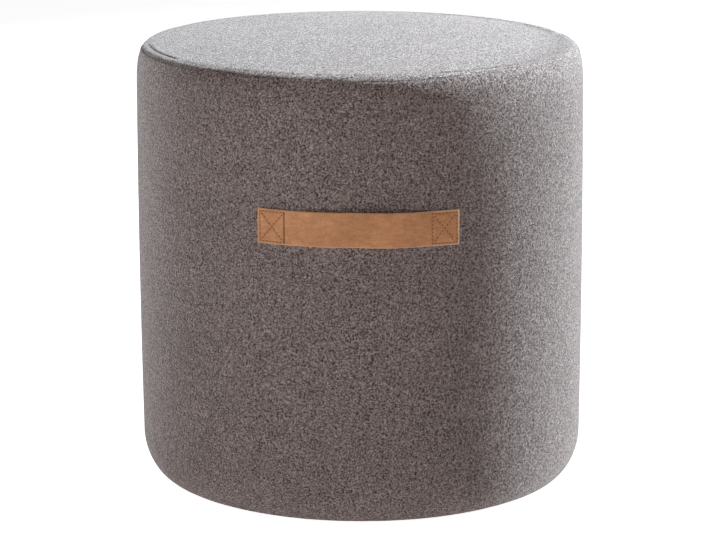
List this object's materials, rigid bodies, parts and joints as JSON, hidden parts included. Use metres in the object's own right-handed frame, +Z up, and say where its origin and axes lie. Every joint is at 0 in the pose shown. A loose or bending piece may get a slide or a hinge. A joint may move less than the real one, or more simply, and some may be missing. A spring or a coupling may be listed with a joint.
{
  "type": "upholstered wool pouf",
  "caption": "Round upholstered pouf in grey-brown felted wool cloth, with a softly crowned top, a rounded foot and a tan leather strap handle on the front.",
  "frame": {"origin": "middle of the underside, on the floor", "axes": "+Z up along the pouf's axis; the strap handle is on the front, towards -Y; +X to the right seen from the front"},
  "size_m": [0.4003, 0.4061, 0.4],
  "materials": {
    "wool_cloth": "short felted wool, grey-brown melange with light and dark flecks, matt with a faint fuzzy sheen",
    "base_cloth": "plain matt dark underside cloth",
    "tan_leather": "matt oiled tan leather, fine grain, paler cut edges, brown stitching"
  },
  "bodies": {
    "root": {"side_panel": "wool_cloth", "top_panel": "wool_cloth", "base_panel": "base_cloth", "strap_handle": "tan_leather"}
  },
  "joints": []
}
